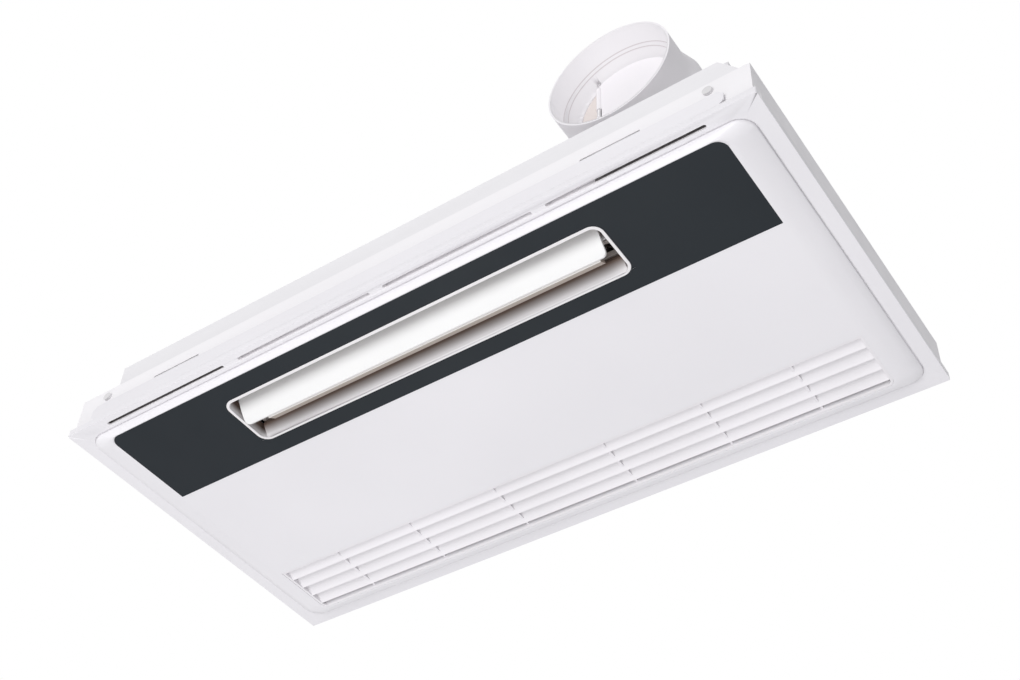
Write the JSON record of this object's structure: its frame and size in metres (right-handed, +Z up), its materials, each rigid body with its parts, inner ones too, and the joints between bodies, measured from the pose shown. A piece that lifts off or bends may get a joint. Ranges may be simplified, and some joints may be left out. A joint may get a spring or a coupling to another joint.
{
  "type": "recessed ceiling fan",
  "caption": "Recessed rectangular ceiling fan module with a louvered warm-air outlet, a slatted intake grille, a sheet-metal housing and a round duct spigot.",
  "frame": {"origin": "middle of the four fixing holes, on the back of the panel's flange, which is the ceiling plane", "axes": "+Z up into the ceiling void, +X along the long side towards the duct end, -Y towards the louver and the duct mouth"},
  "size_m": [0.6, 0.3, 0.1926],
  "materials": {
    "white_plastic": "satin",
    "dark_plastic": "gloss",
    "sheet_metal": "satin",
    "grey_plastic": "matte",
    "fan_metal": "satin",
    "steel": "satin",
    "motor_case": "satin",
    "board": "matte"
  },
  "bodies": {
    "module": {"face_panel": "white_plastic", "dark_inlay": "dark_plastic", "outlet_bezel": "white_plastic", "intake_grille": "white_plastic", "louver_motor": "motor_case", "mounting_frame": "sheet_metal", "panel_clips": "steel", "mounting_brackets": "sheet_metal", "frame_screws": "steel", "housing_tray": "sheet_metal", "housing_box": "sheet_metal", "top_cover": "sheet_metal", "base_plate": "sheet_metal", "duct_adapter": "white_plastic", "flap_pin": "steel", "flap_spring": "steel", "blower_casing": "grey_plastic", "rotor_bearing": "grey_plastic", "motor_bracket": "sheet_metal", "rotor_motor": "motor_case", "heater_frame": "grey_plastic", "heater_element": "fan_metal", "exhaust_scroll": "grey_plastic", "scroll_inlet_ring": "grey_plastic", "exhaust_motor": "motor_case", "control_box": "grey_plastic", "control_board": "board", "terminal_block": "white_plastic", "cable_gland": "grey_plastic", "gland_nut": "grey_plastic", "receiver_board": "board"},
    "louver": {"swing_louver": "white_plastic", "louver_idler_pin": "steel", "louver_drive_shaft": "steel"},
    "room_rotor": {"blower_rotor": "fan_metal", "rotor_shaft": "steel"},
    "exhaust_wheel": {"exhaust_wheel": "grey_plastic", "exhaust_shaft": "steel"},
    "flap": {"backdraft_flap": "white_plastic"}
  },
  "joints": [
    {"name": "louver_swing", "type": "hinge", "parent": "module", "child": "louver", "pos_m": [0, -0.0975, -0.0015], "axis": [-1, 0, 0], "range_deg": [-55, 30]},
    {"name": "room_rotor_spin", "type": "hinge", "parent": "module", "child": "room_rotor", "pos_m": [0, -0.03, 0.036], "axis": [1, 0, 0], "continuous": true},
    {"name": "exhaust_wheel_spin", "type": "hinge", "parent": "module", "child": "exhaust_wheel", "pos_m": [0.194, 0.012, 0.1], "axis": [0, 0, 1], "continuous": true},
    {"name": "flap_swing", "type": "hinge", "parent": "module", "child": "flap", "pos_m": [0.1634, -0.10965, 0.118], "axis": [0, 0, -1], "range_deg": [0, 70], "stiffness_Nm_per_rad": 0.004, "springref_deg": -5.73}
  ]
}
